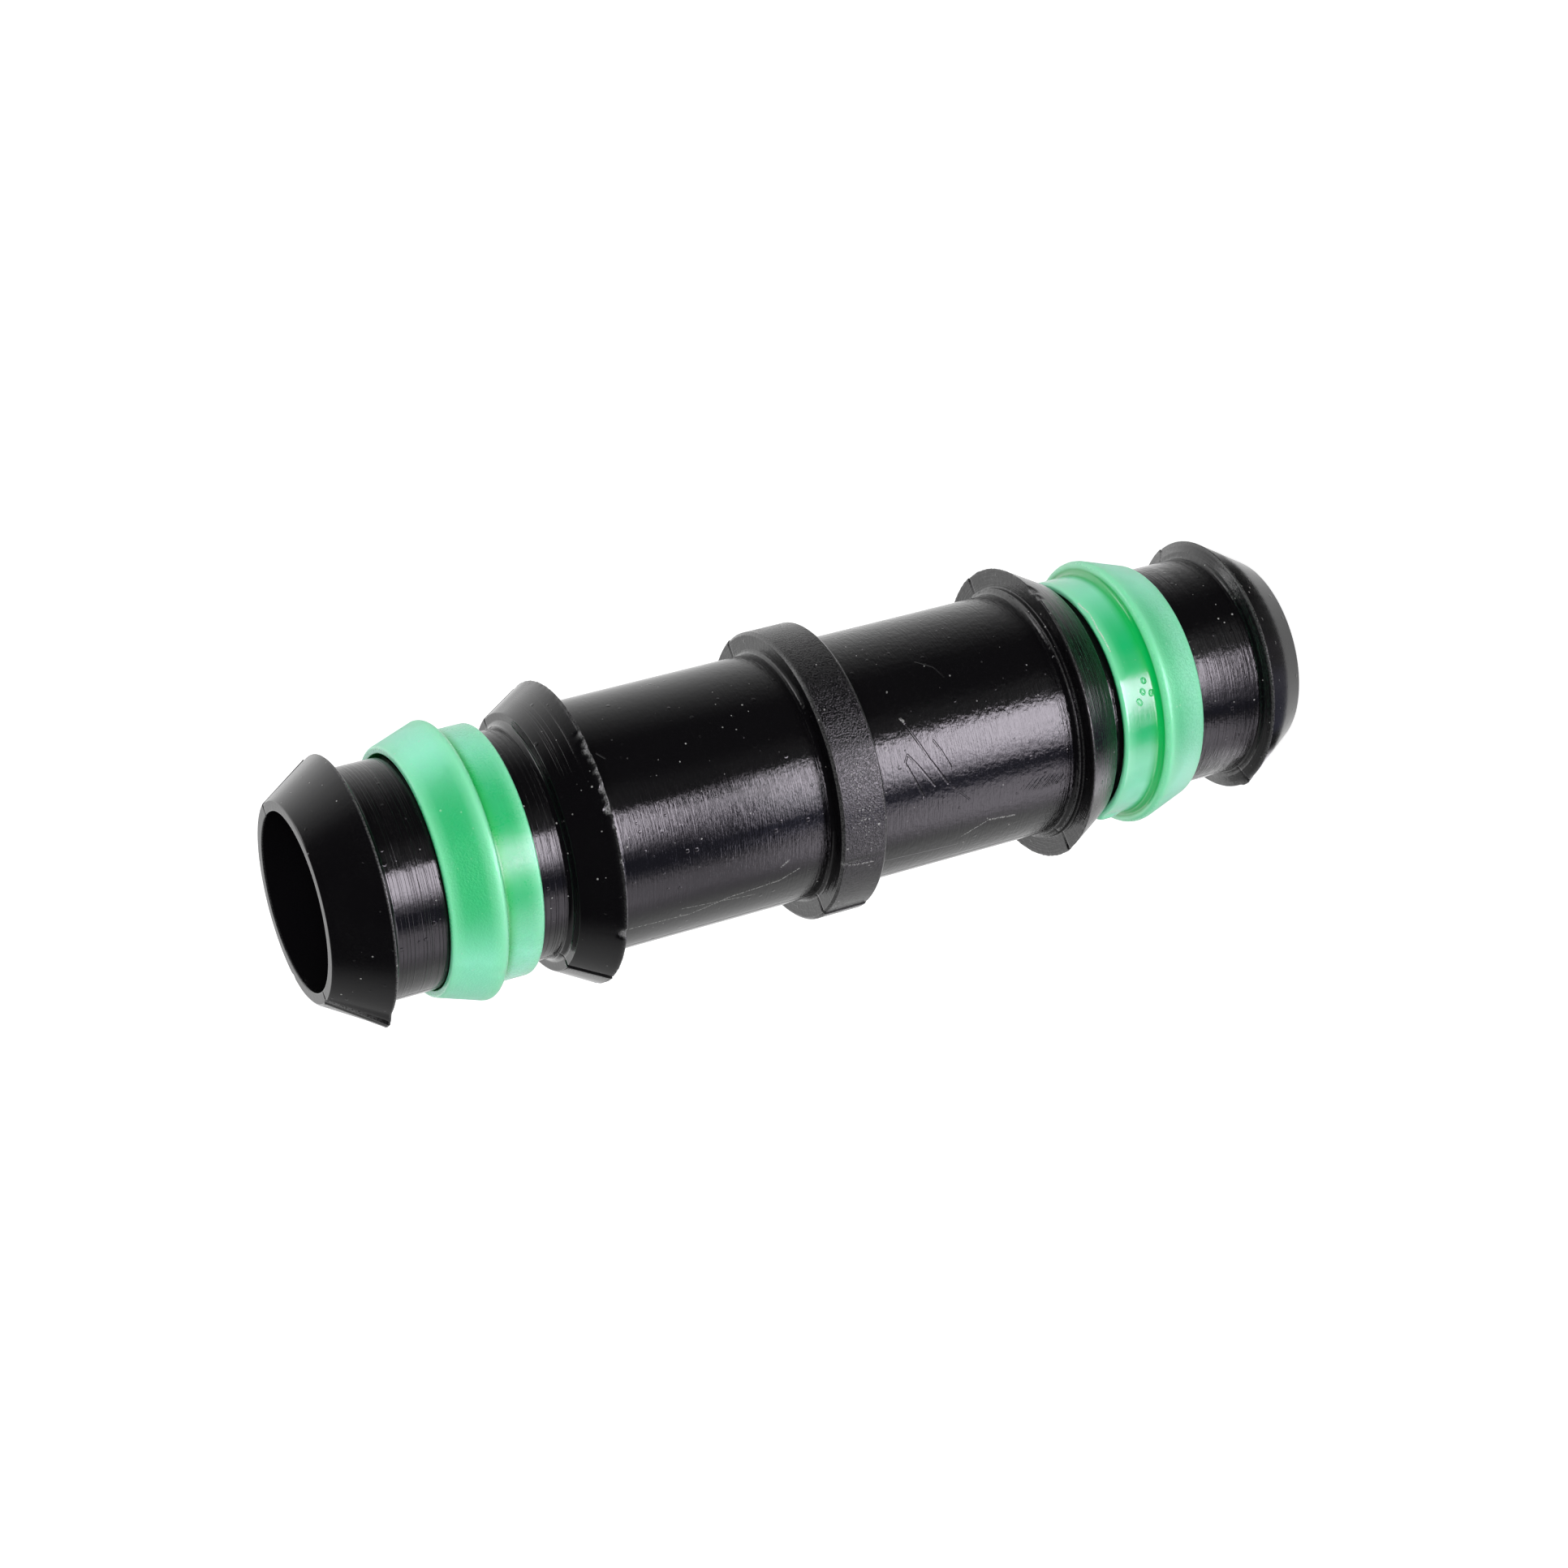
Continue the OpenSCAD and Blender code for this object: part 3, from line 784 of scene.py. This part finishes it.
# Finishes
blackLook = {
    "black": (0.0034, 0.0031, 0.0038, 1),
    "greyed": (0.0050, 0.0048, 0.0054, 1),
    "worn": (0.24, 0.24, 0.24, 1),
    "dust": (0.42, 0.42, 0.41, 1),
    "glossRoughness": (0.06, 0.10),
    "streakRoughness": 0.13, "rubbed": (0.52, 0.68),  # where the long streaks are rubbed duller
    "leatherRoughness": 0.13,
    "matteRoughness": (0.15, 0.23),
    "boreRoughness": 0.25,
    "wornRoughness": 0.6,
    "turningMarks": {
        "streaks": {"Length": 1.0, "Width": 0.11, "Detail": 3.0},
        "longStreaks": {"Length": 6.0, "Width": 0.10, "Detail": 2.0},
        "latheLines": {"Length": 26.0, "Width": 0.10, "Detail": 1.0},
    },
    "grains": {
        "clouds": {"Size": 2.4, "Detail": 2.0},
        "dusty": {"Size": 5.0, "Detail": 1.0, "Low": 0.42, "High": 0.62},
        "peel": {"Size": 0.32, "Detail": 2.0, "Low": 0.2, "High": 0.8},
        "sand": {"Size": 0.09, "Detail": 1.0},
        "leather": {"Size": 0.10, "Detail": 2.0, "Low": 0.35, "High": 0.6},
    },
    "specks": {
        "pits": {"Spacing": 0.7, "Size": 0.11, "Share": 0.6},
        "dust": {"Spacing": 0.45, "Size": 0.055, "Share": 0.4},
        "grit": {"Spacing": 1.9, "Size": 0.08, "Share": 0.3},
        "flecks": {"Spacing": 0.12, "Size": 0.05, "Share": 0.5},
    },
    "streakDepth": 0.018, "longStreakDepth": 0.010, "latheDepth": 0.008, "latheCut": (0.52, 0.64),
    "peelDepth": 0.008, "pitDepth": 0.012, "sandDepth": 0.0012, "leatherDepth": 0.017,
    "scratchDepth": 0.022, "wearDepth": 0.02,
    "scratchShare": 0.05, "wearShare": 0.75, "scuffShare": 0.85, "dustShare": 0.8,  # how pale each one is
    "brokenWear": (0.1, 0.7, 0.35, 1.0), "brokenScuffs": (0.3, 0.7, 0.1, 1.0),  # how the sand breaks them up
    "smootherFrom": 28.0, "smootherTo": 38.0, "smootherShare": 0.38,  # the upper tube is the smoother one
    "latheAt": [(4.0, 1.0, [(-34, 44.6), (-76, 44.6)]), (4.0, 0.7, [(-66, 14.8), (-104, 14.8)]),
                (3.0, 0.8, [(-20, 2.9), (-70, 2.9)]), (3.0, 0.5, [(-30, 46.3), (-76, 46.3)])],
    "ripples": {"at": (-138.5, 17.9), "reach": 1.8, "period": 0.34, "depth": 0.009},
    "scratches": [
        (0.17, 1.0, [(-94.9, 25.78), (-112.4, 24.86), (-125.7, 23.93)]),
        (0.17, 1.0, [(-108.2, 26.10), (-111.4, 26.34), (-124.8, 25.69), (-128.8, 25.47)]),
        (0.15, 0.9, [(-108.2, 26.10), (-113.5, 25.64), (-125.2, 24.74)]),
        (0.15, 0.9, [(-104.8, 24.39), (-110.3, 24.05), (-118.6, 23.63)]),
        (0.12, 0.7, [(-128.4, 23.60), (-136.8, 22.59)]),
        (0.10, 0.5, [(-66.0, 23.63), (-71.5, 22.80), (-77.7, 22.50)]),
        (0.10, 0.6, [(-161.4, 29.04), (-165.4, 22.78)]),
        (0.14, 0.8, [(-71.8, 43.10), (-75.1, 42.80)]),
    ],
    "scuffs": [
        (0.24, 1.0, [(-91.9, 25.94), (-93.3, 25.81)]),
        (0.20, 1.0, [(-152.2, 21.20), (-153.8, 19.50)]),
        (0.14, 0.8, [(-158.9, 22.73), (-152.8, 21.34)]),
        (0.12, 0.8, [(-160.3, 43.03), (-161.5, 39.40), (-156.7, 37.07), (-154.6, 34.18), (-150.0, 33.02)]),
        (0.10, 0.6, [(-155.8, 40.0), (-157.6, 38.03), (-160.1, 35.53)]),
        (0.16, 1.0, [(-146.0, 34.15), (-143.3, 33.73)]),
        (0.14, 0.9, [(-146.8, 30.60), (-147.6, 29.14)]),
    ],
    "flecked": [  # where the collar has fine pale flecks
        (1.20, 0.8, [(-112.0, 29.9), (-127.0, 29.9)]), (1.50, 0.9, [(-124.0, 29.6), (-138.0, 29.4)]),
    ],
}


def blackMoulding(look, effects):
    material, tree, spot, has = startFinish("blackMoulding", look, effects)
    calc = partial(mathNode, tree)

    def drawn(name):
        return drawScratches(tree, effects, spot, look[name])

    matte, grain, inside, sand = has["matte"], has["grain"], has["inside"], has["sand"]
    smooth = calc("MULTIPLY", calc("SUBTRACT", 1.0, matte), calc("SUBTRACT", 1.0, grain))
    smoother = remap(tree, has["up"], look["smootherFrom"] * mm, look["smootherTo"] * mm, 1.0,
                     look["smootherShare"])
    relief = calc("MULTIPLY", smooth, smoother)
    # On the cones the lathe lines show only in places
    anywhere = calc("MINIMUM", calc("MULTIPLY", matte, 4.0), 1.0)
    lathe = calc("MULTIPLY", has["lathe"], mixValue(tree, anywhere, 1.0, drawn("latheAt")))
    dust = calc("MAXIMUM", calc("MULTIPLY", has["dust"], has["dusty"]), has["grit"])
    scratches = drawn("scratches")
    scuffs = calc("MULTIPLY", drawn("scuffs"), remap(tree, sand, *look["brokenScuffs"]))
    scuffs = calc("MAXIMUM", scuffs, calc("MULTIPLY", has["flecks"], drawn("flecked")))
    wear = calc("MULTIPLY", has["worn"], remap(tree, sand, *look["brokenWear"]))
    pale = calc("MULTIPLY", calc("MAXIMUM", dust, calc("MULTIPLY", scuffs, look["scuffShare"])),
                calc("SUBTRACT", 1.0, inside))

    greyed = calc("MULTIPLY", matte, calc("MULTIPLY", has["clouds"], sand))
    colour = mixColour(tree, greyed, look["black"], look["greyed"])
    for share, amount, paint in ((scratches, "scratchShare", "worn"), (wear, "wearShare", "worn"),
                                 (pale, "dustShare", "dust")):
        colour = mixColour(tree, calc("MULTIPLY", share, look[amount]), colour, look[paint])

    rubbed = calc("MULTIPLY", remap(tree, has["longStreaks"], *look["rubbed"]), smooth)
    rough = mixValue(tree, has["clouds"], *look["glossRoughness"])
    for share, roughness in ((rubbed, look["streakRoughness"]), (grain, look["leatherRoughness"]),
                             (matte, mixValue(tree, sand, *look["matteRoughness"])),
                             (inside, look["boreRoughness"]),
                             (calc("MAXIMUM", wear, pale), look["wornRoughness"])):
        rough = mixValue(tree, share, rough, roughness)

    rippled = look["ripples"]
    ripples = useGroup(tree, effects["ripples"], Spot=spot, Centre=spotAt(*rippled["at"]),
                       Reach=rippled["reach"] * mm, Period=rippled["period"] * mm)
    endFinish(tree, colour, rough, [
        (has["streaks"], relief, look["streakDepth"]), (has["longStreaks"], relief, look["longStreakDepth"]),
        (remap(tree, has["latheLines"], *look["latheCut"]), lathe, look["latheDepth"]),
        (has["peel"], relief, look["peelDepth"]), (sand, matte, look["sandDepth"]),
        (has["leather"], grain, look["leatherDepth"]), (scratches, 1.0, -look["scratchDepth"]),
        (ripples, 1.0, rippled["depth"]), (has["pits"], 1.0, look["pitDepth"]),
        (sand, wear, look["wearDepth"]),
    ])
    print("black moulding finish built")
    return material


greenLook = {
    # This deep green is painted into the valley, flange face and bore as painted shade and light bounced in
    # the groove, and drawn in the blemish outlines
    "deep": (0.000, 0.51, 0.095, 1),
    "mint": (0.003, 0.50, 0.150, 1),
    # This pale green is painted on as sheen where a ring turns away from the camera
    "pale": (0.30, 0.95, 0.64, 1),
    # This rim colour is painted on the rims as a glow of light through the thin edges, and on the knocks as
    # wear
    "rim": (0.26, 0.86, 0.50, 1),
    # This paler green is painted on the lower ring's cone, growing toward its tip
    "lowerConePale": (0.38, 0.92, 0.66, 1),
    "chalk": (0.62, 0.80, 0.66, 1),
    "lowerConePaleTop": 10.4, "lowerConePaleBottom": 7.6, "lowerConePaleShare": 0.8,  # the lower cone is pale up to this height
    "sheenFreeSide": (-0.216, -0.976, 0.0), "sheenFullFrom": 0.57, "sheenFreeTo": 1.0,  # the side facing the camera, left unpainted; turned away from it, a pale green is painted on as sheen
    "dullFrom": 20.0, "dullTo": 40.0, "dullShare": 0.45,  # the upper sleeve is duller than the lower one
    "paintedSheenShare": 0.95, "valleyShadeShare": 0.95, "rimShare": 0.8, "blemishShare": 0.6, "chalkShare": 0.35,
    "brokenPaintedSheen": 0.8, "brokenLowerConePale": 0.7, "brokenScratches": (0.1, 0.6, 0.3, 1.0),  # how much is left
    "dotsOnGloss": 0.3, "sandOnGloss": 0.12,  # how much of them is left away from the cone
    "glossRoughness": (0.10, 0.24),
    "matteRoughness": (0.36, 0.50),
    "turningMarks": {"streaks": {"Length": 3.0, "Width": 0.16, "Detail": 2.0}},
    "grains": {
        "clouds": {"Size": 1.8, "Detail": 3.0},
        "sheenNoise": {"Size": 3.2, "Detail": 2.0, "Low": 0.38, "High": 0.62},
        "sand": {"Size": 0.12, "Detail": 2.0},
    },
    "specks": {"dots": {"Spacing": 0.35, "Size": 0.07, "Share": 0.4}},
    "markDepth": 0.006, "sandDepth": 0.008, "cloudDepth": 0.008, "blemishDepth": 0.02, "scratchDepth": 0.02,
    "plastic": {"Specular IOR Level": 0.85, "Specular Tint": (1.0, 0.66, 1.0, 1), "Subsurface Weight": 0.3,
                "Subsurface Radius": (0.25, 1.0, 0.5), "Subsurface Scale": 0.5 * mm},
    "scratches": [(0.12, 1.0, [(-54.5, 12.42), (-63.0, 12.30), (-72.0, 12.36), (-85.2, 12.30)])],
    "blemishes": [
        (0.36, 1.0, [(-101.8, 10.92), (-102.6, 10.90)]), (0.36, 1.0, [(-106.8, 11.14), (-107.5, 11.1)]),
        (0.34, 0.9, [(-108.2, 10.60), (-109.0, 10.62)]), (0.36, 0.9, [(-111.1, 11.47), (-112.2, 11.40)]),
    ],
}


def greenRing(look, effects):
    material, tree, spot, has = startFinish("greenRing", look, effects)
    calc = partial(mathNode, tree)

    matte, sand, clouds = has["matte"], has["sand"], has["clouds"]
    scratches = calc("MULTIPLY", drawScratches(tree, effects, spot, look["scratches"]),
                     remap(tree, sand, *look["brokenScratches"]))
    blemish = drawScratches(tree, effects, spot, look["blemishes"])
    rings = calc("MULTIPLY", calc("MULTIPLY", blemish, calc("SUBTRACT", 1.0, blemish)), 4.0)

    # Painted sheen: the sides of a ring turned away from the camera get a paler green, as grazing light
    # would give them, broken up by noise
    flat = vectorMath(tree, "NORMALIZE", vectorMath(tree, "MULTIPLY", has["place"], (1, 1, 0)))
    turned = vectorMath(tree, "DOT_PRODUCT", flat, look["sheenFreeSide"])
    away = remap(tree, turned, look["sheenFreeTo"], look["sheenFullFrom"])
    paintedSheen = calc("MULTIPLY", calc("MULTIPLY", away, look["paintedSheenShare"]),
                 remap(tree, has["sheenNoise"], 0.0, 1.0, look["brokenPaintedSheen"], 1.0))
    # The lower ring's cone is painted paler toward its tip, broken up by the sand
    low = remap(tree, has["up"], look["lowerConePaleTop"] * mm, look["lowerConePaleBottom"] * mm, 0.0, look["lowerConePaleShare"])
    lowerConePaleMask = calc("MULTIPLY", calc("MULTIPLY", low, matte),
                   remap(tree, sand, 0.0, 1.0, look["brokenLowerConePale"], 1.0))
    dots = calc("MULTIPLY", has["dots"], remap(tree, matte, 0.0, 1.0, look["dotsOnGloss"], 1.0))
    chalk = calc("MAXIMUM", calc("MULTIPLY", dots, calc("MULTIPLY", clouds, look["chalkShare"])), scratches)
    colour = look["mint"]
    # The inside mark paints the groove, flange face and bore a deeper green as painted shade and bounced
    # light
    # The worn mark paints the rims paler as a painted glow of light, and the knocks paler as wear
    for share, paint in ((paintedSheen, "pale"), (lowerConePaleMask, "lowerConePale"),
                         (calc("MULTIPLY", has["inside"], look["valleyShadeShare"]), "deep"),
                         (calc("MULTIPLY", has["worn"], look["rimShare"]), "rim"),
                         (calc("MULTIPLY", rings, look["blemishShare"]), "deep"), (chalk, "chalk")):
        colour = mixColour(tree, share, colour, look[paint])

    duller = remap(tree, has["up"], look["dullFrom"] * mm, look["dullTo"] * mm, 0.0, look["dullShare"])
    duller = calc("MAXIMUM", calc("MAXIMUM", matte, rings), duller)
    rough = mixValue(tree, duller, mixValue(tree, clouds, *look["glossRoughness"]),
                     mixValue(tree, sand, *look["matteRoughness"]))
    shader = endFinish(tree, colour, rough, [
        (has["streaks"], calc("SUBTRACT", 1.0, matte), look["markDepth"]),
        (sand, remap(tree, matte, 0.0, 1.0, look["sandOnGloss"], 1.0), look["sandDepth"]),
        (clouds, 1.0, look["cloudDepth"]), (rings, 1.0, -look["blemishDepth"]),
        (scratches, 1.0, look["scratchDepth"]),
    ])
    for name, value in look["plastic"].items():
        shader.inputs[name].default_value = value
    print("green ring finish built")
    return material


def dress(piece, body, node):
    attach(piece, body)
    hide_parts(node)


placeCamera(cameraSetup)
buildStudio(studio)
turningTree = buildTurningTree()
effects = buildEffects()
bodyMaterial = blackMoulding(blackLook, effects)
couplingBody = turnPiece("couplingBody", bodyOutline(bodySizes), bodySizes, bodyMaterial, turningTree,
                         bodySizes["end"])
ringMaterial = greenRing(greenLook, effects)
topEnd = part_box("top_ring")[0].z / mm
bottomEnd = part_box("bottom_ring")[1].z / mm
topRing = turnPiece("topSafetyRing", ringOutline(ringSizes), ringSizes, ringMaterial, turningTree, topEnd)
bottomRing = turnPiece("bottomSafetyRing", ringOutline(ringSizes), ringSizes, ringMaterial, turningTree,
                       bottomEnd, flip=True)
knock(couplingBody, bodyKnocks, np.zeros(2))
knock(topRing, topRingKnocks, np.array(ringSizes["offAxis"]))
knock(bottomRing, bottomRingKnocks, -np.array(ringSizes["offAxis"]))
dress(couplingBody, "coupling", "body")
dress(topRing, "top_ring", "top_ring")
dress(bottomRing, "bottom_ring", "bottom_ring")

bpy.context.scene.view_settings.view_transform = "Standard"
